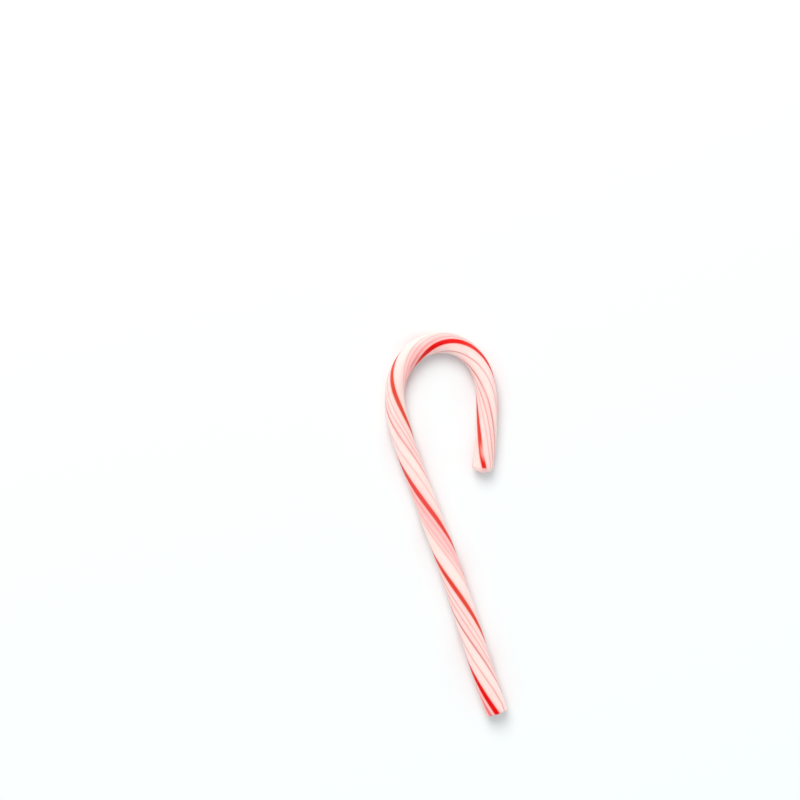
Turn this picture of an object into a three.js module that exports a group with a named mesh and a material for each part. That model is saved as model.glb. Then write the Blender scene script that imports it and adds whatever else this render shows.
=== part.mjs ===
// Candy cane: one rope of pulled sugar, twisted, cut to length, bent into a crook while warm
// and left to cool lying on a flat slab. It is a single solid.
// Millimetres, +Z up. The shaft runs along +Y from the foot, and the crook turns towards +X.
// The origin is the bottom centre of the finished cane's bounding box.

import * as THREE from 'three';

// ---- Driving dimensions, in millimetres and degrees ----

const ROPE_LENGTH = 206.5; // along the middle of the rope, from the foot to the tip of the crook
const FOOT_HEADING = 90.9; // direction in which the shaft leaves the foot, counted from +X
const FIRST_STRIPE_ANGLE = 3; // where the boldest stripe starts at the foot, right of the top

// Stations are [distance from the foot, value]. A value runs straight from one to the next.
const DIAMETER_STATIONS = [
  [0, 8.1],
  [8, 8.4],
  [20, 8.3],
  [50, 8.25],
  [75, 8.0],
  [108, 7.8],
  [122, 7.1],
  [140, 7.6],
  [165, 7.5],
  [188, 7.6],
  [206, 7.7],
];
// Degrees of bend to the right for each millimetre of rope.
const BEND_STATIONS = [
  [0, 0.16],
  [51, -0.12],
  [96, 0.06],
  [111, 0.69],
  [126, 2.61],
  [141, 3.33],
  [153, 4.09],
  [166, 3.26],
  [181, 0.77],
  [206, 0],
];
// Degrees of left-handed twist for each millimetre of rope. Bending winds the crook tighter.
const TWIST_STATIONS = [
  [0, 4.2],
  [18, 4.2],
  [48, 4.8],
  [100, 4.4],
  [131, 6.0],
  [151, 5.0],
  [166, 3.5],
  [196, 3.5],
  [206, 5.3],
];

// The rope isn't quite round. Each lobe set winds with the stripes.
const LOBE_SETS = [
  { count: 2, height: 0.07, crestAngle: 240 },
  { count: 3, height: 0.05, crestAngle: 350 },
  { count: 5, height: 0.025, crestAngle: 82 },
];

// How the two ends are cut: a rounded edge, a slightly domed face, and a cut that isn't square.
const FOOT_CUT = { edgeRadius: 0.7, dome: 0.45, slant: 0.5 };
const TIP_CUT = { edgeRadius: 2, dome: 0.45, slant: -1.5 };
const SLANT_REACH = 9; // the slant of a cut dies out over this length of rope

const SETTLED_DEPTH = 0.18; // the slab flattened the underside of the warm rope by this much

// ---- How finely the solid is divided ----

const SIDES = 28; // flats round the rope
const SPANS = 104; // rings' spacings along the rope, without the rounded ends
const EDGE_STEPS = 4; // facets across each rounded edge
const FACE_RING_SHARE = 0.5; // the one ring on each cut face, as a share of the face's radius
const WALK_STEP = 0.25; // step in which the centreline is walked

const SUGAR_COLOR = 0xfbe3dc;
const SUGAR_ROUGHNESS = 0.35;

const FULL_TURN = 360;
const radians = THREE.MathUtils.degToRad;

function stationValue(stations, distance) {
  const last = stations.length - 1;
  if (distance <= stations[0][0]) return stations[0][1];
  if (distance >= stations[last][0]) return stations[last][1];
  const next = stations.findIndex(([place]) => place > distance);
  const [fromPlace, fromValue] = stations[next - 1];
  const [toPlace, toValue] = stations[next];
  const share = (distance - fromPlace) / (toPlace - fromPlace);
  return THREE.MathUtils.lerp(fromValue, toValue, share);
}

// Walks the rope from foot to tip and notes, at each step, the place of its middle, its
// heading and the twist that it has taken up.
function walkRope() {
  const steps = Math.round(ROPE_LENGTH / WALK_STEP);
  const walk = [{ x: 0, y: 0, heading: radians(FOOT_HEADING), twist: -FIRST_STRIPE_ANGLE }];
  for (let step = 0; step < steps; step += 1) {
    const here = walk[step];
    const halfway = (step + 0.5) * WALK_STEP;
    const turn = radians(stationValue(BEND_STATIONS, halfway)) * WALK_STEP;
    const meanHeading = here.heading - turn / 2;
    walk.push({
      x: here.x + Math.cos(meanHeading) * WALK_STEP,
      y: here.y + Math.sin(meanHeading) * WALK_STEP,
      heading: here.heading - turn,
      twist: here.twist + stationValue(TWIST_STATIONS, halfway) * WALK_STEP,
    });
  }
  return walk;
}

const walk = walkRope();

// The rope's middle at any distance. Past an end it runs straight on.
function ropeAt(distance) {
  const inside = THREE.MathUtils.clamp(distance, 0, ROPE_LENGTH);
  const index = Math.min(Math.floor(inside / WALK_STEP), walk.length - 2);
  const share = inside / WALK_STEP - index;
  const from = walk[index];
  const to = walk[index + 1];
  const heading = THREE.MathUtils.lerp(from.heading, to.heading, share);
  const ahead = new THREE.Vector3(Math.cos(heading), Math.sin(heading), 0);
  const middle = new THREE.Vector3(
    THREE.MathUtils.lerp(from.x, to.x, share),
    THREE.MathUtils.lerp(from.y, to.y, share),
    stationValue(DIAMETER_STATIONS, distance) / 2 - SETTLED_DEPTH,
  );
  middle.addScaledVector(ahead, distance - inside);
  const right = new THREE.Vector3(ahead.y, -ahead.x, 0);
  return { middle, ahead, right, twist: THREE.MathUtils.lerp(from.twist, to.twist, share) };
}

// How far the surface stands out beyond the plain round rope, at an angle of the stripes.
function lobeHeight(stripeAngle) {
  return LOBE_SETS.reduce(
    (sum, { count, height, crestAngle }) =>
      sum + height * Math.cos(radians(count * (stripeAngle - crestAngle))),
    0,
  );
}

// The rings that shape one cut end, from its face inwards, as { inward, share, inset }: inward
// is the distance from the cut, and the ring's radius is share of the rope's, less inset.
// The middle of the domed face is added later.
function endRings({ edgeRadius, dome }) {
  const domeHeight = dome * (1 - FACE_RING_SHARE ** 2);
  const faceInset = FACE_RING_SHARE * edgeRadius;
  const rings = [{ inward: -domeHeight, share: FACE_RING_SHARE, inset: faceInset }];
  for (let step = 0; step < EDGE_STEPS; step += 1) {
    const angle = (step / EDGE_STEPS) * (Math.PI / 2);
    const inward = edgeRadius * (1 - Math.cos(angle));
    const inset = edgeRadius * (1 - Math.sin(angle));
    rings.push({ inward, share: 1, inset });
  }
  return rings;
}

// All the rings from foot to tip, as { distance, share, inset }.
function ropeRings() {
  const rings = [];
  for (const { inward, share, inset } of endRings(FOOT_CUT)) {
    rings.push({ distance: inward, share, inset });
  }
  const first = FOOT_CUT.edgeRadius;
  const last = ROPE_LENGTH - TIP_CUT.edgeRadius;
  for (let span = 0; span <= SPANS; span += 1) {
    rings.push({ distance: THREE.MathUtils.lerp(first, last, span / SPANS), share: 1, inset: 0 });
  }
  for (const { inward, share, inset } of endRings(TIP_CUT).reverse()) {
    rings.push({ distance: ROPE_LENGTH - inward, share, inset });
  }
  return rings;
}

// A cut that isn't square moves a point along the rope by its sideways place.
function slantShift(distance, sideways) {
  const footFade = Math.max(0, 1 - Math.max(0, distance) / SLANT_REACH);
  const tipFade = Math.max(0, 1 - Math.max(0, ROPE_LENGTH - distance) / SLANT_REACH);
  const slope = footFade * Math.tan(radians(FOOT_CUT.slant))
    + tipFade * Math.tan(radians(TIP_CUT.slant));
  return sideways * slope;
}

// A point of a ring. Its angle is counted from the top, towards the rope's right-hand side.
function surfacePoint({ distance, share, inset }, side) {
  const rope = ropeAt(distance);
  const angle = (side / SIDES) * FULL_TURN;
  const plainRadius = stationValue(DIAMETER_STATIONS, distance) / 2;
  const radius = share * (plainRadius + lobeHeight(angle + rope.twist)) - inset;
  const sideways = radius * Math.sin(radians(angle));
  const point = rope.middle.clone()
    .addScaledVector(rope.right, sideways)
    .addScaledVector(rope.ahead, slantShift(distance, sideways));
  point.z += radius * Math.cos(radians(angle));
  point.z = Math.max(point.z, 0);
  return point;
}

// Skins the rings into one closed surface whose faces point outwards.
function ropeGeometry() {
  const rings = ropeRings();
  const points = [];
  const faces = [];
  for (const ring of rings) {
    for (let side = 0; side < SIDES; side += 1) {
      points.push(surfacePoint(ring, side));
    }
  }
  const lastRing = (rings.length - 1) * SIDES;
  for (let near = 0; near < lastRing; near += SIDES) {
    for (let side = 0; side < SIDES; side += 1) {
      const next = (side + 1) % SIDES;
      const far = near + SIDES;
      faces.push(near + side, far + next, far + side);
      faces.push(near + side, near + next, far + next);
    }
  }
  const footMiddle = points.push(ropeAt(-FOOT_CUT.dome).middle) - 1;
  const tipMiddle = points.push(ropeAt(ROPE_LENGTH + TIP_CUT.dome).middle) - 1;
  for (let side = 0; side < SIDES; side += 1) {
    const next = (side + 1) % SIDES;
    faces.push(footMiddle, next, side);
    faces.push(tipMiddle, lastRing + side, lastRing + next);
  }
  const geometry = new THREE.BufferGeometry().setFromPoints(points);
  geometry.setIndex(faces);
  geometry.computeVertexNormals();
  return geometry;
}

function makeCane() {
  const geometry = ropeGeometry();
  geometry.computeBoundingBox();
  const middle = geometry.boundingBox.getCenter(new THREE.Vector3());
  const material = new THREE.MeshStandardMaterial({
    color: SUGAR_COLOR,
    roughness: SUGAR_ROUGHNESS,
    metalness: 0,
  });
  const cane = new THREE.Mesh(geometry, material);
  cane.name = 'candy_cane';
  cane.position.set(-middle.x, -middle.y, -geometry.boundingBox.min.z);
  return cane;
}

const candyCane = new THREE.Group();
candyCane.add(makeCane());

export default candyCane;
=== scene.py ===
# %% [markdown]
# # A candy cane
#
# A candy cane is one rope of pulled sugar. The maker lays red sugar along a thick cream-white
# log, pulls the log out into a thin rope, twists it, cuts it to length and bends one end into a
# crook while it is warm. It then cools lying flat on a slab.
#
# This lesson makes it in the same order: a straight rope with rounded ends, pulled a little
# uneven, then twisted and bent in one go by a guiding curve, and last settled on the slab. The
# stripes are a node material that reads where each point lay in the straight rope, so that
# they twist and bend with it.

# %% Load the finished solid as the frame
import math

import bmesh
import bpy
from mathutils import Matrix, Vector


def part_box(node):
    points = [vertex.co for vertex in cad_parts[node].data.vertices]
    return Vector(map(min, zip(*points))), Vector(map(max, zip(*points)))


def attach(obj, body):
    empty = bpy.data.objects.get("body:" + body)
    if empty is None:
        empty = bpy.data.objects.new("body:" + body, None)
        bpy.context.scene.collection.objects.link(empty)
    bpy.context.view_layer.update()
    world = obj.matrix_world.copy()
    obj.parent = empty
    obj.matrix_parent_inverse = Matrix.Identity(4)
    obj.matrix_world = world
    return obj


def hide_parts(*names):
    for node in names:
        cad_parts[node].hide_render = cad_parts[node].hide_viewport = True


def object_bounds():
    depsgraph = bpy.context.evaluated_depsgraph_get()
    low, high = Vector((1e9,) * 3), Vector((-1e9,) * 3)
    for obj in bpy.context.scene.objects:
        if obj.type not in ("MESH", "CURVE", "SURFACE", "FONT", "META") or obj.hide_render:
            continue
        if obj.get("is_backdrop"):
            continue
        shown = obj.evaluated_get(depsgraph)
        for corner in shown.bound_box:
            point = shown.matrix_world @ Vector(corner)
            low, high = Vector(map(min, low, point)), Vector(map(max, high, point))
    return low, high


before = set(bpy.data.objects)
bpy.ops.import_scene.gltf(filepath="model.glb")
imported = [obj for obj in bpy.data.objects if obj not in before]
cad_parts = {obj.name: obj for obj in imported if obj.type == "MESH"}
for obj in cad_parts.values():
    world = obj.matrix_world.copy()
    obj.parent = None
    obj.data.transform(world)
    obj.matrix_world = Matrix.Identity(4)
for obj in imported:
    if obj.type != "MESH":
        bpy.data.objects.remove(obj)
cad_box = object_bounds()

bpy.ops.object.select_all(action="DESELECT")
cane_low, cane_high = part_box("candy_cane")
print("solid from", tuple(cane_low), "to", tuple(cane_high))

# %% [markdown]
# ## The rope's sizes
#
# Everything follows from a few sizes along the rope. A list of stations holds pairs of distance
# from the foot and value, and a value runs straight from one station to the next. They could be
# drawn as curves by hand in the viewport instead, but as numbers they can be read and changed,
# and they are the same numbers that the solid was made with.

# %% Sizes along the rope, in millimetres and degrees
MM = 0.001  # one millimetre, in Blender's metres

ROPE_LENGTH = 206.5
FOOT_HEADING = 90.9  # direction in which the shaft leaves the foot, counted from +X
FIRST_STRIPE_ANGLE = 3  # where the boldest stripe starts at the foot, right of the top

DIAMETER_STATIONS = [
    (0, 8.1), (8, 8.4), (20, 8.3), (50, 8.25), (75, 8.0), (108, 7.8), (122, 7.1), (140, 7.6),
    (165, 7.5), (188, 7.6), (206, 7.7),
]
# Degrees of bend to the right for each millimetre of rope.
BEND_STATIONS = [
    (0, 0.16), (51, -0.12), (96, 0.06), (111, 0.69), (126, 2.61), (141, 3.33), (153, 4.09),
    (166, 3.26), (181, 0.77), (206, 0),
]
# Degrees of left-handed twist for each millimetre of rope.
TWIST_STATIONS = [
    (0, 4.2), (18, 4.2), (48, 4.8), (100, 4.4), (131, 6.0), (151, 5.0), (166, 3.5), (196, 3.5),
    (206, 5.3),
]
SETTLED_DEPTH = 0.18  # how much the slab flattened the underside of the warm rope


def station_value(stations, distance):
    """The value at a distance from the foot, read off a list of stations."""
    for (start, first), (end, second) in zip(stations, stations[1:]):
        if distance <= end:
            share = max(0, distance - start) / (end - start)
            return first + (second - first) * share
    return stations[-1][1]


print("the crown is", round(station_value(DIAMETER_STATIONS, 140), 2), "mm thick")

# %% [markdown]
# ## Lobes
#
# A pulled rope is never quite round. Where strands of sugar were laid together it keeps low
# lobes that run along it. Each set of lobes is a cosine round the rope, and their sum says how
# far the skin stands out at any angle.

# %% Low lobes round the rope
# Each set is (number of lobes, height in mm, stripe angle of a crest). The stripe angle is
# counted round the straight rope from its top, towards the right-hand side.
LOBE_SETS = [(2, 0.07, 240), (3, 0.05, 350), (5, 0.025, 82), (9, 0.012, 20), (14, 0.009, 131)]
FULL_TURN = 360  # degrees


def lobe_height(stripe_angle):
    """How far the skin stands out beyond the plain round rope, in millimetres."""
    return sum(
        height * math.cos(math.radians(count * (stripe_angle - crest)))
        for count, height, crest in LOBE_SETS
    )


whole_turn = [lobe_height(angle) for angle in range(FULL_TURN)]
lowest_lobe, highest_lobe = min(whole_turn), max(whole_turn)
print("lobes from", round(lowest_lobe, 3), "to", round(highest_lobe, 3), "mm")

# %% [markdown]
# ## The straight rope
#
# A cylinder along +X is the blank. Its ends are shaped in edit mode as the shears left them: the
# rim is bevelled round, and the cut face is inset in a few rings that rise into a shallow dome.
# Only then are the long edges subdivided, so that the rings along the rope are even. A lathe
# profile would give the same form, but the cylinder shows each end as a step of its own.

# %% A helper that selects faces, edges or points in edit mode by a test
def select_where(piece, kind, test):
    """In edit mode, selects only the faces, edges or verts that pass the test, and counts them."""
    modes = {"verts": "VERT", "edges": "EDGE", "faces": "FACE"}
    bpy.ops.mesh.select_mode(type=modes[kind])
    bpy.ops.mesh.select_all(action="DESELECT")
    mesh = bmesh.from_edit_mesh(piece.data)
    count = 0
    for element in getattr(mesh, kind):
        if test(element):
            element.select_set(True)
            count += 1
    mesh.select_flush_mode()
    bmesh.update_edit_mesh(piece.data)
    return count


# %% The blank
ROUND_STEPS = 112  # points round the rope
# The plain radius is the rope's at its thickest, without its lobes.
PLAIN_RADIUS = max(diameter for distance, diameter in DIAMETER_STATIONS) / 2 * MM
BLANK_RADIUS = PLAIN_RADIUS + lowest_lobe * MM  # the lobes are pushed out from here
blank_length = ROPE_LENGTH * MM

bpy.ops.mesh.primitive_cylinder_add(
    vertices=ROUND_STEPS,
    radius=BLANK_RADIUS,
    depth=blank_length,
    location=(blank_length / 2, 0, 0),
    rotation=(0, math.radians(90), 0),
)
rope = bpy.context.object
rope.name = "pulled_sugar_rope"
bpy.ops.object.transform_apply(location=True, rotation=True, scale=True)
print("blank of", len(rope.data.polygons), "faces")

# %% Round the rims and dome the cut faces
FOOT_EDGE_RADIUS = 0.7 * MM
FOOT_DOME = 0.45 * MM
TIP_EDGE_RADIUS = 2.0 * MM
TIP_DOME = 0.45 * MM
RIM_SEGMENTS = 7
DOME_RINGS = 6
FACES_OUTWARD = 0.999  # a cut face's normal points along the rope at least this much


def shape_end(piece, end_x, outward, edge_radius, dome):
    """Rounds the rim at x = end_x and domes the face there. outward is -1 at the foot, 1 at the tip."""
    def is_end_face(face):
        at_end = abs(face.calc_center_median().x - end_x) < MM
        return at_end and face.normal.x * outward > FACES_OUTWARD

    select_where(piece, "faces", is_end_face)
    bpy.ops.mesh.region_to_loop()
    bpy.ops.mesh.bevel(offset=edge_radius, segments=RIM_SEGMENTS, profile=0.5, affect="EDGES")
    select_where(piece, "faces", is_end_face)
    face_radius = BLANK_RADIUS - edge_radius
    ring_width = face_radius / (DOME_RINGS + 1)
    risen = 0
    for ring in range(DOME_RINGS):
        share = 1 - (ring + 1) / (DOME_RINGS + 1)
        height = dome * (1 - share ** 2)
        bpy.ops.mesh.inset(thickness=ring_width, depth=height - risen)
        risen = height
    bpy.ops.mesh.poke(offset=dome - risen)


bpy.ops.object.mode_set(mode="EDIT")
shape_end(rope, 0, -1, FOOT_EDGE_RADIUS, FOOT_DOME)
shape_end(rope, blank_length, 1, TIP_EDGE_RADIUS, TIP_DOME)
bpy.ops.object.mode_set(mode="OBJECT")
print("with its ends shaped:", len(rope.data.polygons), "faces")

# %% Rings along the rope
# One Subdivide makes at most 100 cuts, so the long edges are cut in two passes.
COARSE_CUTS = 5
FINE_CUTS = 98


def cut_long_edges(piece, cuts, longer_than):
    """Subdivides every edge of piece that is longer than the given length."""
    bpy.ops.object.mode_set(mode="EDIT")
    select_where(piece, "edges", lambda edge: edge.calc_length() > longer_than)
    bpy.ops.mesh.subdivide(number_cuts=cuts)
    bpy.ops.object.mode_set(mode="OBJECT")


cut_long_edges(rope, COARSE_CUTS, 0.5 * blank_length)
cut_long_edges(rope, FINE_CUTS, 0.5 * blank_length / (COARSE_CUTS + 1))
print("with its rings:", len(rope.data.polygons), "faces")

# %% [markdown]
# ## Remembering the straight rope
#
# The stripes run straight along the rope before it is twisted. An attribute keeps each point's
# place in the straight rope: millimetres from the foot, and its place across the rope as a
# share of the radius. The stripe material reads it later. A UV map could do the same, but it
# needs a seam, where an angle jumps from 360 degrees to 0, and a place across the rope has none.

# %% Store each point's place in the straight rope
STRAIGHT_PLACE = "straight_place"


def store_straight_place(piece):
    """Writes (millimetres from the foot, share across, share up) of every point into an attribute."""
    attribute = piece.data.attributes.new(STRAIGHT_PLACE, "FLOAT_VECTOR", "POINT")
    for vertex, entry in zip(piece.data.vertices, attribute.data):
        along, across, up = vertex.co
        entry.vector = (along / MM, across / BLANK_RADIUS, up / BLANK_RADIUS)


store_straight_place(rope)
print("attributes:", [attribute.name for attribute in rope.data.attributes])

# %% [markdown]
# ## Cutting the skin open for a map
#
# The finished colours can be painted into an image later, and for that the skin needs a flat
# map. Seams are marked while the rope is still straight: one along it, one round each cut face,
# and three round it, so that its long skin becomes four strips that fill a square well.
# Unwrapping along such seams hardly stretches anything, which an automatic projection would.

# %% Seams and the unwrapped map
MAP_NAME = "OFBake"
STRIP_COUNT = 4  # the long skin is cut into this many strips
SAME_PLACE = 1e-6  # two points closer than this, in metres, are at one place
RING_DIGITS = 7  # decimals of a metre that tell one ring from the next
MAP_MARGIN = 0.01  # gap between the islands, as a share of the map


def seam_rings(piece):
    """Distances along the straight rope of the rings that become seams."""
    rings = {round(vertex.co.x, RING_DIGITS) for vertex in piece.data.vertices}
    wanted = [blank_length * strip / STRIP_COUNT for strip in range(STRIP_COUNT + 1)]
    return [min(rings, key=lambda ring: abs(ring - place)) for place in wanted]


def mark_seams(piece):
    """Marks a seam along the underside, round each cut face and between the strips."""
    rings = seam_rings(piece)

    def is_seam(edge):
        first, second = (vertex.co for vertex in edge.verts)
        if abs(first.x - second.x) < SAME_PLACE:
            return any(abs(first.x - ring) < SAME_PLACE for ring in rings)
        below = first.z < -0.5 * BLANK_RADIUS and second.z < -0.5 * BLANK_RADIUS
        on_the_skin = 0 <= min(first.x, second.x) and max(first.x, second.x) <= blank_length
        return below and on_the_skin and max(abs(first.y), abs(second.y)) < SAME_PLACE

    count = select_where(piece, "edges", is_seam)
    bpy.ops.mesh.mark_seam()
    return count


rope.data.uv_layers[0].name = MAP_NAME
bpy.ops.object.mode_set(mode="EDIT")
seam_edges = mark_seams(rope)
bpy.ops.mesh.select_all(action="SELECT")
bpy.ops.uv.unwrap(method="CONFORMAL", margin=MAP_MARGIN)
bpy.ops.object.mode_set(mode="OBJECT")
print(seam_edges, "seam edges")

# %% [markdown]
# ## Pushing out the lobes, and an uneven pull
#
# The lobes come from a vertex group: its weight says how far each point stands out, and a
# Displace modifier pushes the points along their normals by it. The rope is also a little
# thicker here and there, as it was pulled by hand. That is a second Displace modifier with a
# soft cloud texture. Sculpting would do as well, but it can't be repeated exactly.

# %% Push out the lobes
def apply_modifier(piece, modifier):
    """Applies one modifier to piece, as its Apply button does."""
    bpy.context.view_layer.objects.active = piece
    bpy.ops.object.modifier_apply(modifier=modifier.name)


def push_out_lobes(piece):
    """Displaces the points of the straight rope by the height of the lobes."""
    group = piece.vertex_groups.new(name="lobes")
    for vertex in piece.data.vertices:
        across, up = vertex.co.y / BLANK_RADIUS, vertex.co.z / BLANK_RADIUS
        height = lobe_height(math.degrees(math.atan2(-across, up)))
        share = (height - lowest_lobe) / (highest_lobe - lowest_lobe)
        group.add([vertex.index], share * math.hypot(across, up), "REPLACE")
    push = piece.modifiers.new("lobes", "DISPLACE")
    push.vertex_group = group.name
    push.mid_level = 0
    push.strength = (highest_lobe - lowest_lobe) * MM
    apply_modifier(piece, push)
    piece.vertex_groups.clear()


def top_radius(piece):
    """The straight rope's greatest radius along its top, in millimetres."""
    return round(max(vertex.co.z for vertex in piece.data.vertices) / MM, 3)


push_out_lobes(rope)
print("with its lobes, the radius at the top is up to", top_radius(rope), "mm")

# %% An uneven pull
PULL_SIZE = 0.013  # size of the thick and thin places, in metres
PULL_HEIGHT = 0.09 * MM


def pull_unevenly(piece):
    """Makes the rope a little thicker and thinner along its length."""
    cloud = bpy.data.textures.new("uneven pull", "CLOUDS")
    cloud.noise_scale = PULL_SIZE
    push = piece.modifiers.new("uneven pull", "DISPLACE")
    push.texture = cloud
    push.texture_coords = "LOCAL"
    push.mid_level = 0.5
    push.strength = PULL_HEIGHT
    apply_modifier(piece, push)


pull_unevenly(rope)
print("pulled unevenly, the radius at the top is up to", top_radius(rope), "mm")

# %% [markdown]
# ## Twist and bend in one go
#
# One guiding curve says all that happens to the warm rope. Its points give the route, each
# point's radius how thick the rope is there, and each point's tilt how far it has been twisted.
# A Curve modifier then wraps the straight rope along it. A Simple Deform twist and bend could
# each do a part, but only at one even rate, and this cane is twisted tighter at its shoulder.

# %% Walk the route from foot to tip
WALK_STEP = 0.25  # in millimetres


def walk_route():
    """Places (x, y, distance, twist) along the middle of the rope, in millimetres and degrees."""
    x = y = distance = 0.0
    heading = math.radians(FOOT_HEADING)
    twist = -FIRST_STRIPE_ANGLE
    places = [(x, y, distance, twist)]
    for _ in range(round(ROPE_LENGTH / WALK_STEP)):
        halfway = distance + WALK_STEP / 2
        turn = math.radians(station_value(BEND_STATIONS, halfway)) * WALK_STEP
        x += math.cos(heading - turn / 2) * WALK_STEP
        y += math.sin(heading - turn / 2) * WALK_STEP
        heading -= turn
        twist += station_value(TWIST_STATIONS, halfway) * WALK_STEP
        distance += WALK_STEP
        places.append((x, y, distance, twist))
    return places


route = walk_route()
print("x, y, distance and twist at the tip:", [round(value, 1) for value in route[-1]])

# %% Bend the rope along a guiding curve
def make_guide(places):
    """A curve through the places, with the rope's thickness as its radius and its twist as tilt."""
    data = bpy.data.curves.new("guide", "CURVE")
    data.dimensions = "3D"
    data.twist_mode = "Z_UP"
    spline = data.splines.new("POLY")
    spline.points.add(len(places) - 1)
    for point, (x, y, distance, twist) in zip(spline.points, places):
        radius = station_value(DIAMETER_STATIONS, distance) / 2
        point.co = (x * MM, y * MM, (radius - SETTLED_DEPTH) * MM, 1)
        point.radius = radius * MM / PLAIN_RADIUS
        point.tilt = -math.radians(twist)  # a positive tilt would wind the stripes right-handed
    guide = bpy.data.objects.new("guide", data)
    bpy.context.collection.objects.link(guide)
    return guide


def bend_along(piece, guide):
    """Wraps piece, which lies along +X, along the guide and removes the guide."""
    bend = piece.modifiers.new("bend", "CURVE")
    bend.object = guide
    bend.deform_axis = "POS_X"
    apply_modifier(piece, bend)
    bpy.data.objects.remove(guide)


def mesh_box(piece):
    """Lowest and highest corner of a piece's own points."""
    columns = list(zip(*(vertex.co for vertex in piece.data.vertices)))
    return Vector(map(min, columns)), Vector(map(max, columns))


def box_in_millimetres(piece):
    """The corners of mesh_box as short lists, for printing."""
    return [[round(value / MM, 2) for value in corner] for corner in mesh_box(piece)]


bend_along(rope, make_guide(route))
print("the bent rope's box:", box_in_millimetres(rope))

# %% [markdown]
# ## Cut ends that aren't quite square
#
# The shears never cut square. Each cut end is turned a little about an upright axis through its
# middle: only the cut face and its rim turn, and the first rings beside them take up the rest.

# %% Turn the two cut ends a little
FOOT_SLANT = 0.5  # degrees
TIP_SLANT = -1.5


def straight_distances(piece):
    """Each point's distance from the foot along the straight rope, in millimetres."""
    return [entry.vector.x for entry in piece.data.attributes[STRAIGHT_PLACE].data]


def turn_end(piece, is_in_end, middle, degrees):
    """Turns the points whose straight distance passes is_in_end about an upright axis at middle."""
    distances = straight_distances(piece)
    bpy.ops.object.mode_set(mode="EDIT")
    count = select_where(piece, "verts", lambda vertex: is_in_end(distances[vertex.index]))
    # With no window this operator turns the other way, so that a positive angle is clockwise.
    bpy.ops.transform.rotate(
        value=math.radians(degrees), orient_axis="Z", center_override=middle
    )
    bpy.ops.object.mode_set(mode="OBJECT")
    return count


def on_slab(place):
    """A place of the route as a point at z = 0, in metres."""
    return (place[0] * MM, place[1] * MM, 0)


foot_rim = FOOT_EDGE_RADIUS / MM
tip_rim = ROPE_LENGTH - TIP_EDGE_RADIUS / MM
foot_count = turn_end(rope, lambda distance: distance < foot_rim, on_slab(route[0]), FOOT_SLANT)
tip_count = turn_end(rope, lambda distance: distance > tip_rim, on_slab(route[-1]), TIP_SLANT)
print("turned", foot_count, "points at the foot and", tip_count, "at the tip")

# %% [markdown]
# ## Settling on the slab
#
# The warm rope sinks a little, so its underside is a narrow flat strip. The points that reach
# below the slab are scaled to nothing in height, which is S, Z, 0 by hand. A cut with Bisect
# would leave one huge face there that follows the whole cane.

# %% Settle the rope and put it on the solid's place
def flatten_underside(piece):
    """Brings all points below z = 0 up to it."""
    bpy.ops.object.mode_set(mode="EDIT")
    count = select_where(piece, "verts", lambda vertex: vertex.co.z < 0)
    bpy.ops.transform.resize(value=(1, 1, 0), center_override=(0, 0, 0))
    bpy.ops.object.mode_set(mode="OBJECT")
    return count


def centre_on_solid(piece):
    """Moves the mesh in x and y so that its box has the solid's centre."""
    low, high = mesh_box(piece)
    shift = (cane_low + cane_high - low - high) / 2
    bpy.ops.object.select_all(action="DESELECT")
    piece.select_set(True)
    bpy.ops.transform.translate(value=(shift.x, shift.y, 0))
    bpy.ops.object.transform_apply(location=True, rotation=False, scale=False)


flat_count = flatten_underside(rope)
centre_on_solid(rope)
print(flat_count, "points lie on the slab")
print("the settled rope's box:", box_in_millimetres(rope))

# %% Smooth shading and outward faces
bpy.ops.object.mode_set(mode="EDIT")
bpy.ops.mesh.select_all(action="SELECT")
bpy.ops.mesh.normals_make_consistent(inside=False)
bpy.ops.object.mode_set(mode="OBJECT")
bpy.ops.object.shade_smooth()
print(sum(face.use_smooth for face in rope.data.polygons), "smooth faces")

# %% [markdown]
# ## Pulled sugar
#
# The finish has three layers. The white sugar has been pulled until fine air makes it satiny and
# cream, with warmer and pinker strands. On it lie two bold red stripes and a set of hair-thin
# pink lines. All of it is colour in one skin, as the rope is rolled smooth while it is hot.
# An image could be painted for it, but nodes that work from each point's place in the straight
# rope stay sharp at any distance, and each stripe can be changed by one number.

# %% A helper that adds a node
def add_node(tree, kind, inputs=None, **settings):
    """Adds a node, applies its settings, and feeds its inputs with values or other nodes' outputs."""
    node = tree.nodes.new(kind)
    for name, value in settings.items():
        setattr(node, name, value)
    for name, value in (inputs or {}).items():
        if isinstance(value, bpy.types.NodeSocket):
            tree.links.new(value, node.inputs[name])
        else:
            node.inputs[name].default_value = value
    return node


# %% Helpers for sums, soft steps and mixes
MIX_FIRST, MIX_SECOND, MIX_RESULT = 6, 7, 2  # the colour sockets of a Mix node


def calculate(tree, operation, *values):
    """The result of a Math node on values or outputs."""
    return add_node(tree, "ShaderNodeMath", dict(enumerate(values)), operation=operation).outputs[0]


def ease(tree, value, start, end, first, last):
    """Goes softly from first to last while value goes from start to end."""
    inputs = {0: value, 1: start, 2: end, 3: first, 4: last}
    return add_node(tree, "ShaderNodeMapRange", inputs, interpolation_type="SMOOTHSTEP").outputs[0]


def mix_color(tree, share, first, second):
    """The colour that is share of the way from first to second."""
    inputs = {0: share, MIX_FIRST: first, MIX_SECOND: second}
    return add_node(tree, "ShaderNodeMix", inputs, data_type="RGBA").outputs[MIX_RESULT]


# %% Helpers for colours
def color_ramp(tree, value, stops, interpolation="LINEAR"):
    """A Color Ramp through stops of (position from 0 to 1, colour)."""
    node = add_node(tree, "ShaderNodeValToRGB", {0: value})
    ramp = node.color_ramp
    ramp.interpolation = interpolation
    for position, color in stops[1:-1]:
        ramp.elements.new(position).color = color
    ends = (ramp.elements[0], ramp.elements[-1])
    for element, (position, color) in zip(ends, (stops[0], stops[-1])):
        element.position = position
        element.color = color
    return node.outputs["Color"]


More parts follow.
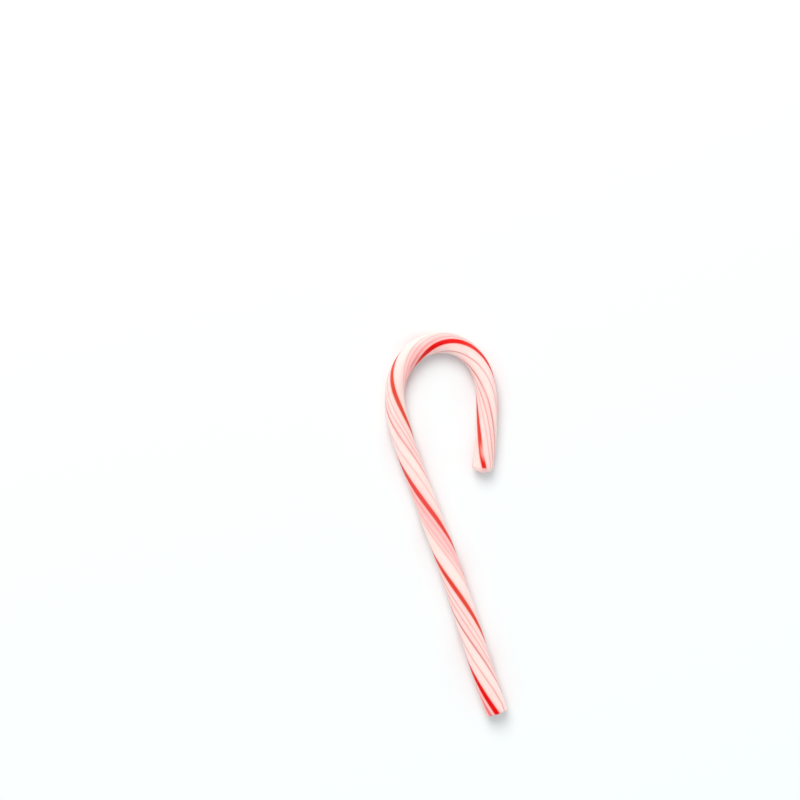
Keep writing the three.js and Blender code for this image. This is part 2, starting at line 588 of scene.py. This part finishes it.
def screen_color(red, green, blue):
    """A colour as a screen shows it, each part from 0 to 255, in the linear values of a node."""
    # This is the sRGB curve, which is straight near black.
    shares = [part / 255 for part in (red, green, blue)]
    linear = [s / 12.92 if s <= 0.04045 else ((s + 0.055) / 1.055) ** 2.4 for s in shares]
    return (*linear, 1)


def grey(level):
    """A colour whose three parts are equal, in the linear values of a node."""
    return (level, level, level, 1)


# %% Where a point lay in the straight rope
def read_straight_place(tree):
    """Outputs for a point's distance in mm, its share of the radius and its stripe angle, 0 to 360."""
    stored = add_node(tree, "ShaderNodeAttribute", attribute_name=STRAIGHT_PLACE).outputs["Vector"]
    parts = add_node(tree, "ShaderNodeSeparateXYZ", {0: stored}).outputs
    distance, across, up = parts["X"], parts["Y"], parts["Z"]
    turn = calculate(tree, "ARCTAN2", calculate(tree, "MULTIPLY", across, -1), up)
    angle = calculate(tree, "WRAP", calculate(tree, "DEGREES", turn), FULL_TURN, 0)
    squares = [calculate(tree, "POWER", side, 2) for side in (across, up)]
    share = calculate(tree, "SQRT", calculate(tree, "ADD", *squares))
    return {"distance": distance, "share": share, "angle": angle, "across": across, "up": up}


# %% [markdown]
# ## The strands of cream sugar
#
# Round the rope the cream isn't even: it is lightest between the second red stripe and the pink
# strands, and it turns to a wash of pink before the first. A Color Ramp over the stripe angle
# holds these strands. Noise that is stretched along the rope adds the fine silky threads that
# pulling leaves.

# %% Colours of the strands, by stripe angle
CREAM = screen_color(253, 220, 214)
WARM_CREAM = screen_color(253, 213, 208)
BLUSH = screen_color(254, 203, 199)
ROSE = screen_color(254, 191, 188)
PINK_WASH = screen_color(253, 174, 171)
STRANDS = [
    (0, ROSE), (20, BLUSH), (38, CREAM), (56, WARM_CREAM), (78, CREAM), (92, CREAM),
    (110, BLUSH), (130, WARM_CREAM), (160, WARM_CREAM), (176, WARM_CREAM), (190, ROSE),
    (212, BLUSH), (232, CREAM), (258, CREAM), (272, WARM_CREAM), (288, BLUSH), (312, ROSE),
    (345, ROSE), (360, ROSE),
]
# The noise takes a radius across the rope as 1 and a millimetre along it as this much, so that
# its threads are about eight times as long as they are wide.
THREAD_STRETCH = 0.03
THREAD_SCALE = 7.0
THREAD_DETAIL = 3
THREAD_UNEVENNESS = 0.6
THREAD_RANGE = (0.5, 0.75)  # of the noise, from where a thread begins to where it is strongest
THREAD_COLOR = PINK_WASH
THREAD_STRENGTH = 0.2


def thread_noise(tree, place, scale, stretch):
    """Noise in long threads that run along the rope."""
    along = calculate(tree, "MULTIPLY", place["distance"], stretch)
    inputs = {"X": along, "Y": place["across"], "Z": place["up"]}
    vector = add_node(tree, "ShaderNodeCombineXYZ", inputs).outputs[0]
    inputs = {
        "Vector": vector,
        "Scale": scale,
        "Detail": THREAD_DETAIL,
        "Roughness": THREAD_UNEVENNESS,
    }
    return add_node(tree, "ShaderNodeTexNoise", inputs).outputs["Fac"]


def strand_colors(tree, place):
    """The cream and pink sugar of the rope's skin, without its stripes and lines."""
    position = calculate(tree, "DIVIDE", place["angle"], FULL_TURN)
    stops = [(angle / FULL_TURN, color) for angle, color in STRANDS]
    strands = color_ramp(tree, position, stops, "B_SPLINE")
    threads = thread_noise(tree, place, THREAD_SCALE, THREAD_STRETCH)
    strength = ease(tree, threads, *THREAD_RANGE, 0, THREAD_STRENGTH)
    return mix_color(tree, strength, strands, THREAD_COLOR)


# %% [markdown]
# ## Stripes and lines
#
# A stripe is where the stripe angle lies within a few degrees of the stripe's own. Its edges
# fade softly, as the red sugar bleeds a little into the white. The strands were laid on by hand,
# so stations along the rope say where each one runs, how wide it is and how strongly it shows,
# and slow noise makes it wander and swell a little more. Where a red stripe is paler, that is
# partly its own thinner red and partly a painted highlight of the soft light. Stations in a Color
# Ramp can be read and changed one by one, where noise alone would put the stripes anywhere.

# %% A stripe that runs along the rope
WANDER_RATE = 0.035  # how far the noise moves on for each millimetre of rope
WANDER = 1.5  # in degrees, across the whole range of the noise
SWELL = 0.4  # how much a stripe's width changes, as a share
SWELL_SEED_STEP = 50  # keeps the swell of a stripe from following its wander


def along_rope(tree, place, stations):
    """A value that changes along the rope, from stations of distance in mm and value."""
    # A ramp holds colours, so it holds each value as a grey, in shares of the greatest one.
    greatest = max(value for distance, value in stations)
    stops = [(distance / ROPE_LENGTH, grey(value / greatest)) for distance, value in stations]
    position = calculate(tree, "DIVIDE", place["distance"], ROPE_LENGTH)
    return calculate(tree, "MULTIPLY", color_ramp(tree, position, stops), greatest)


def slow_noise(tree, distance, seed):
    """Noise between about -0.5 and 0.5 that changes slowly along the rope."""
    place = calculate(tree, "MULTIPLY_ADD", distance, WANDER_RATE, seed)
    inputs = {"W": place, "Scale": 1.0, "Detail": 1.0}
    noise = add_node(tree, "ShaderNodeTexNoise", inputs, noise_dimensions="1D").outputs["Fac"]
    return calculate(tree, "SUBTRACT", noise, 0.5)


def stripe_mask(tree, place, angle, half_width, softness, seed):
    """1 on a stripe at a stripe angle, falling to 0 beside it. Sizes are in degrees."""
    wander = calculate(tree, "MULTIPLY", slow_noise(tree, place["distance"], seed), WANDER)
    offset = calculate(tree, "SUBTRACT", calculate(tree, "ADD", place["angle"], wander), angle)
    nearest = calculate(tree, "WRAP", offset, FULL_TURN / 2, -FULL_TURN / 2)
    beside = calculate(tree, "ABSOLUTE", nearest)
    swell_noise = slow_noise(tree, place["distance"], seed + SWELL_SEED_STEP)
    swell = calculate(tree, "MULTIPLY_ADD", swell_noise, SWELL, 1)
    past_edge = calculate(tree, "SUBTRACT", beside, calculate(tree, "MULTIPLY", swell, half_width))
    return ease(tree, past_edge, -softness, softness, 1, 0)


# %% [markdown]
# ## How deep the colour goes
#
# The cut ends show that the red is a skin: each stripe is a shallow wedge, and behind the skin
# the sugar is plain. At the tip of the crook the shears pinched pale sugar over the rim, so the
# stripes stop just short of it. At the foot they run to the edge.

# %% Depth of the skin, and the pale rim of the tip
STRIPE_DEPTH = 0.3  # of the red stripes, as a share of the radius
SKIN_DEPTH = 0.22  # of the pink strands and lines
DEPTH_FADE = 0.06
PALE_RIM_START = 204.9  # in millimetres from the foot
PALE_RIM_FADE = 0.8
CORE_COLOR = WARM_CREAM


def within_depth(tree, place, depth):
    """1 in the skin of the rope, down to a depth, and 0 further in."""
    return ease(tree, place["share"], 1 - depth - DEPTH_FADE, 1 - depth, 0, 1)


def before_pale_rim(tree, place):
    """0 on the pale rim of the tip and 1 on the rest of the rope."""
    return ease(tree, place["distance"], PALE_RIM_START, PALE_RIM_START + PALE_RIM_FADE, 1, 0)


# %% Where the pink lines run, and how strongly they show
DUSKY_PINK = screen_color(204, 114, 112)
CLEAR_PINK = screen_color(218, 106, 110)
# Each line has stations of its stripe angle and half width, in degrees, and of its strength.
PINK_LINES = [
    {
        "angles": [
            (0, 42), (3, 53), (8, 57), (60, 57), (80, 54), (93, 60), (103, 57), (150, 58),
            (163, 66), (180, 57), (206, 57),
        ],
        "half_widths": [(0, 3.8), (206, 3.8)],
        "strengths": [
            (0, 0.6), (25, 0.5), (40, 0.35), (105, 0.35), (150, 0.7), (164, 0.7), (172, 0.5),
            (206, 0.4),
        ],
        "color": DUSKY_PINK,
    },
    {
        "angles": [
            (0, 104), (38, 103), (88, 104), (100, 107), (116, 107), (160, 110), (168, 115),
            (174, 112), (180, 106), (206, 107),
        ],
        "half_widths": [(0, 4.8), (206, 4.8)],
        "strengths": [
            (0, 0.6), (15, 0.75), (36, 0.85), (88, 0.6), (105, 0.6), (114, 0.8), (160, 0.5),
            (168, 0.85), (178, 0.5), (186, 0.75), (200, 0.5), (206, 0.3),
        ],
        "color": DUSKY_PINK,
    },
    {
        "angles": [
            (0, 130), (25, 131), (42, 136), (100, 132), (108, 136), (120, 133), (175, 139),
            (185, 133), (206, 132),
        ],
        "half_widths": [(0, 3.8), (206, 3.8)],
        "strengths": [
            (0, 0.4), (30, 0.45), (42, 0.55), (105, 0.45), (172, 0.4), (178, 0.75), (185, 0.5),
            (197, 0.6), (206, 0.5),
        ],
        "color": DUSKY_PINK,
    },
    {
        "angles": [
            (0, 154), (30, 155), (45, 160), (103, 155), (115, 160), (125, 157), (180, 158),
            (196, 155), (206, 154),
        ],
        "half_widths": [(0, 3.6), (206, 3.6)],
        "strengths": [(0, 0.4), (45, 0.5), (110, 0.4), (206, 0.4)],
        "color": DUSKY_PINK,
    },
    {
        "angles": [(0, 272), (50, 272), (65, 275), (73, 277), (120, 272), (136, 276), (206, 277)],
        "half_widths": [(0, 3.8), (206, 3.8)],
        "strengths": [(0, 0.35), (73, 0.4), (80, 0.2), (130, 0.3), (140, 0.4), (146, 0.2), (206, 0.3)],
        "color": CLEAR_PINK,
    },
    {
        "angles": [(0, 293), (75, 294), (130, 290), (140, 299), (206, 297)],
        "half_widths": [(0, 3.8), (206, 3.8)],
        "strengths": [
            (0, 0.45), (60, 0.3), (75, 0.45), (85, 0.15), (130, 0.3), (141, 0.45), (147, 0.3),
            (155, 0.4), (162, 0.2), (206, 0.3),
        ],
        "color": CLEAR_PINK,
    },
    {
        "angles": [
            (0, 320), (4, 322), (8, 328), (57, 308), (61, 316), (70, 324), (80, 325), (134, 316),
            (138, 326), (148, 328), (206, 326),
        ],
        "half_widths": [(0, 10), (4, 8), (8, 6), (206, 6)],
        "strengths": [
            (0, 0.85), (4, 0.85), (7, 0.65), (9, 0.35), (16, 0.25), (75, 0.3), (80, 0.45),
            (86, 0.3), (110, 0.15), (133, 0.2), (136, 0.55), (147, 0.45), (151, 0.25), (206, 0.3),
        ],
        "color": CLEAR_PINK,
    },
]
print(len(PINK_LINES), "pink lines")

# %% Lay the pink lines over a colour
LINE_SOFTNESS = 3.0
LINE_SEED_STEP = 3.7


def add_pink_lines(tree, place, color):
    """Lays the pink lines over a colour."""
    kept = before_pale_rim(tree, place)
    for number, line in enumerate(PINK_LINES):
        angle = along_rope(tree, place, line["angles"])
        half_width = along_rope(tree, place, line["half_widths"])
        mask = stripe_mask(tree, place, angle, half_width, LINE_SOFTNESS, LINE_SEED_STEP * number)
        strength = along_rope(tree, place, line["strengths"])
        amount = calculate(tree, "MULTIPLY", mask, calculate(tree, "MULTIPLY", strength, kept))
        color = mix_color(tree, amount, color, line["color"])
    return color


# %% Where the bold red stripes run, and how vivid they are; their paler red is partly painted highlight
VIVID_RED = screen_color(216, 4, 2)
# The paler reds stand partly for the stripes' own thinner colour and partly for a painted highlight of
# the soft light.
SALMON_AND_HIGHLIT_RED = screen_color(222, 88, 79)
ORANGE_AND_HIGHLIT_RED = screen_color(215, 86, 65)
# Each stripe has stations of its stripe angle, of its half width and of how vivid it is, from 0
# to 1. Where it isn't vivid it turns to its paler red, which is partly the stripe's own thinner
# colour and partly a painted highlight of the broad soft light.
BOLD_STRIPES = [
    {
        "angles": [
            (0, 358), (9, 361.5), (15, 364), (30, 358), (69, 353), (75, 356), (87, 359), (94, 362),
            (141, 361), (150, 358.5), (160, 359), (168, 364), (206, 360),
        ],
        "half_widths": [
            (0, 12.5), (75, 12.5), (130, 13), (145, 15.5), (158, 15.5), (168, 12.5), (206, 12.5),
        ],
        "vivid": [
            (0, 1), (12, 1), (20, 0.8), (40, 0.3), (90, 0.3), (138, 0.4), (146, 1), (155, 1),
            (161, 0.7), (206, 0.7),
        ],
        "pale_and_highlit": SALMON_AND_HIGHLIT_RED,
    },
    {
        "angles": [
            (0, 199), (33, 195), (39, 196), (45, 198.5), (51, 201.5), (57, 203), (75, 200),
            (110, 200), (117, 201.5), (123, 200), (130, 195), (145, 197), (185, 198), (195, 199),
            (201, 199), (206, 197),
        ],
        "half_widths": [
            (0, 11.5), (110, 12), (125, 14), (132, 14), (140, 12.5), (196, 12.5), (203, 14),
            (206, 14),
        ],
        "vivid": [
            (0, 0.3), (45, 0.3), (51, 0.45), (57, 0.3), (110, 0.15), (150, 0.2), (193, 0.4),
            (199, 0), (203, 0.85), (206, 0.85),
        ],
        "pale_and_highlit": ORANGE_AND_HIGHLIT_RED,
    },
]
print(len(BOLD_STRIPES), "red stripes")

# %% The worn spot
WORN_DISTANCE = 199.5  # of the spot's middle, in millimetres from the foot
WORN_LENGTH = 4.5  # from its middle to its edge, along the rope
WORN_ANGLE = 191.0  # of its middle, in degrees round the rope
WORN_WIDTH = 20.0  # from its middle to its edge, round the rope
WORN_STRENGTH = 0.6


def outside_worn_spot(tree, place):
    """1 away from the spot where the shears rubbed a stripe pale, falling towards its middle."""
    along = calculate(tree, "SUBTRACT", place["distance"], WORN_DISTANCE)
    around = calculate(tree, "SUBTRACT", place["angle"], WORN_ANGLE)
    shares = [
        calculate(tree, "DIVIDE", along, WORN_LENGTH),
        calculate(tree, "DIVIDE", around, WORN_WIDTH),
    ]
    squares = [calculate(tree, "POWER", share, 2) for share in shares]
    away = calculate(tree, "SQRT", calculate(tree, "ADD", *squares))
    return ease(tree, away, 0, 1, 1 - WORN_STRENGTH, 1)


# %% Lay the bold red stripes over a colour
STRIPE_SOFTNESS = 5.0
STRIPE_SEED = 41.3
STRIPE_SEED_STEP = 7


def add_bold_stripes(tree, place, color):
    """Lays the red stripes over a colour."""
    skin = within_depth(tree, place, STRIPE_DEPTH)
    skin = calculate(tree, "MULTIPLY", skin, before_pale_rim(tree, place))
    skin = calculate(tree, "MULTIPLY", skin, outside_worn_spot(tree, place))
    for number, stripe in enumerate(BOLD_STRIPES):
        angle = along_rope(tree, place, stripe["angles"])
        half_width = along_rope(tree, place, stripe["half_widths"])
        seed = STRIPE_SEED + STRIPE_SEED_STEP * number
        mask = stripe_mask(tree, place, angle, half_width, STRIPE_SOFTNESS, seed)
        # Where a stripe isn't vivid, its paler red is partly painted highlight.
        red = mix_color(tree, along_rope(tree, place, stripe["vivid"]), stripe["pale_and_highlit"], VIVID_RED)
        color = mix_color(tree, calculate(tree, "MULTIPLY", mask, skin), color, red)
    return color


# %% [markdown]
# ## Satin shine
#
# Pulled sugar is satiny: its threads of fine air scatter the light along the rope. Roughness
# follows the threads, and a thin coat gives the glassy outermost skin. Light also sinks in and
# spreads before it comes out again, red light the furthest, which softens the shading. A bump of
# the same threads catches the light, far finer than the lobes.

# %% The material of the rope
SUGAR_ROUGHNESS = (0.4, 0.56)  # on the smoothest and the dullest threads
FINE_THREAD_SCALE = 16.0
FINE_THREAD_STRETCH = 0.015  # half as much, so these threads are longer for their width
FINE_THREAD_RANGE = (0.3, 0.7)  # of the noise, from the smoothest to the dullest threads
BUMP_DEPTH = 0.03 * MM
GLOW_DEPTH = 5.0 * MM  # how far red light spreads inside the sugar
GLOW_SHARES = (1.0, 0.35, 0.3)  # how far red, green and blue light spread, as shares of that


def make_pulled_sugar():
    """The satin finish of pulled sugar with inlaid stripes."""
    material = bpy.data.materials.new("pulled_sugar")
    material.use_nodes = True
    tree = material.node_tree
    shader = tree.nodes["Principled BSDF"]
    place = read_straight_place(tree)

    skin = add_pink_lines(tree, place, strand_colors(tree, place))
    color = mix_color(tree, within_depth(tree, place, SKIN_DEPTH), CORE_COLOR, skin)
    color = add_bold_stripes(tree, place, color)
    tree.links.new(color, shader.inputs["Base Color"])

    fine_threads = thread_noise(tree, place, FINE_THREAD_SCALE, FINE_THREAD_STRETCH)
    roughness = ease(tree, fine_threads, *FINE_THREAD_RANGE, *SUGAR_ROUGHNESS)
    tree.links.new(roughness, shader.inputs["Roughness"])
    bump_inputs = {"Height": fine_threads, "Distance": BUMP_DEPTH}
    tree.links.new(add_node(tree, "ShaderNodeBump", bump_inputs).outputs[0], shader.inputs["Normal"])

    shader.inputs["Specular IOR Level"].default_value = 0.1
    shader.inputs["Coat Weight"].default_value = 0.03
    shader.inputs["Coat Roughness"].default_value = 0.25
    shader.inputs["Subsurface Weight"].default_value = 1.0
    shader.inputs["Subsurface Radius"].default_value = GLOW_SHARES
    shader.inputs["Subsurface Scale"].default_value = GLOW_DEPTH
    shader.inputs["IOR"].default_value = 1.5
    return material


rope.data.materials.clear()
rope.data.materials.append(make_pulled_sugar())
print("nodes in the finish:", len(rope.data.materials[0].node_tree.nodes))

# %% [markdown]
# ## Handing the rope over
#
# The rope stands for the plain solid, which is hidden. It rides on the part's only body.

# %% The rope takes the solid's place
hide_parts("candy_cane")
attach(rope, "root")
rope.data.calc_loop_triangles()
print(len(rope.data.loop_triangles), "triangles")

# %% [markdown]
# ## A pale table under soft light
#
# The cane lies on a white table. One large softbox stands beyond the crook, well above it, so
# the shadow falls towards the foot and fades out in a few millimetres. The room is nearly as
# bright as the table, and brightest at the horizon, so the table's edge hardly shows.

# %% Table
TABLE_SIZE = 2.4  # in metres, as are all sizes of the stage
TABLE_COLOR = 0.81


def make_table():
    """A large plain white surface at z = 0."""
    bpy.ops.mesh.primitive_plane_add(size=TABLE_SIZE)
    table = bpy.context.object
    table.name = "table"
    material = bpy.data.materials.new("white_table")
    material.use_nodes = True
    shader = material.node_tree.nodes["Principled BSDF"]
    shader.inputs["Base Color"].default_value = grey(TABLE_COLOR)
    shader.inputs["Roughness"].default_value = 0.8
    table.data.materials.append(material)
    return table


make_table()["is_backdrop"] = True
print("the table is", TABLE_SIZE, "m wide")

# %% Softbox
SOFTBOX_TILT = 38.5  # degrees off the vertical
SOFTBOX_TURN = -1.0  # degrees from +Y towards -X, so it stands a little towards +X
SOFTBOX_DISTANCE = 3.0
SOFTBOX_SIZE = 2.2
SOFTBOX_POWER = 62.5
SOFTBOX_COLOR = (1.0, 0.98, 0.95)


def add_softbox():
    """A round softbox that leans over the crook and points at the cane."""
    tilt, turn = math.radians(SOFTBOX_TILT), math.radians(SOFTBOX_TURN)
    away = Vector((-math.sin(tilt) * math.sin(turn), math.sin(tilt) * math.cos(turn), math.cos(tilt)))
    rotation = away.to_track_quat("Z", "Y").to_euler()
    bpy.ops.object.light_add(type="AREA", location=SOFTBOX_DISTANCE * away, rotation=rotation)
    softbox = bpy.context.object
    softbox.name = "softbox"
    softbox.data.shape = "DISK"
    softbox.data.size = SOFTBOX_SIZE
    softbox.data.energy = SOFTBOX_POWER
    softbox.data.color = SOFTBOX_COLOR
    softbox.visible_camera = False
    return softbox


softbox = add_softbox()
print("softbox at", [round(value, 2) for value in softbox.location])

# %% The room's own light
HORIZON_LIGHT = (1.0, 1.0, 1.0, 1)
OVERHEAD_LIGHT = (0.71, 0.78, 0.8, 1)  # a little cool, as daylight is
HORIZON_HEIGHT = 0.2  # up to this sine of the height above the horizon, the light fades


def light_room():
    """A world that is brightest at the horizon."""
    world = bpy.data.worlds.new("room")
    world.use_nodes = True
    tree = world.node_tree
    direction = add_node(tree, "ShaderNodeTexCoord").outputs["Generated"]
    height = add_node(tree, "ShaderNodeSeparateXYZ", {0: direction}).outputs["Z"]
    share = ease(tree, height, 0, HORIZON_HEIGHT, 0, 1)
    light = mix_color(tree, share, HORIZON_LIGHT, OVERHEAD_LIGHT)
    tree.links.new(light, tree.nodes["Background"].inputs["Color"])
    bpy.context.scene.world = world


light_room()
bpy.context.scene.view_settings.view_transform = "Standard"
print("world:", bpy.context.scene.world.name)

# %% [markdown]
# ## The camera
#
# It looks straight down from well above, turned so that the shaft leans to the left.

# %% Camera
CAMERA_HEIGHT = 1.2
CAMERA_CENTRE = (-0.01384, 0.0502)  # the point that it looks at
CAMERA_TURN = 18.78  # degrees that the cane leans in the frame
FRAME_WIDTH = 0.292  # width of what the camera sees, at the height of the rope's middle
SENSOR_WIDTH = 36.0  # in millimetres, as the lens is


def add_camera():
    """A camera that looks straight down."""
    rope_middle = mesh_box(rope)[1].z / 2
    rotation = (0, 0, -math.radians(CAMERA_TURN))
    bpy.ops.object.camera_add(location=(*CAMERA_CENTRE, CAMERA_HEIGHT), rotation=rotation)
    camera = bpy.context.object
    camera.data.sensor_width = SENSOR_WIDTH
    camera.data.lens = SENSOR_WIDTH * (CAMERA_HEIGHT - rope_middle) / FRAME_WIDTH
    bpy.context.scene.camera = camera
    return camera


camera = add_camera()
print("lens of", round(camera.data.lens, 1), "mm")

# %% Keep both boxes and finish
dressed_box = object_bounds()
boxes = {"cad": cad_box, "visual": dressed_box}
for name, box in boxes.items():
    print(name, "box", [list(corner) for corner in box])
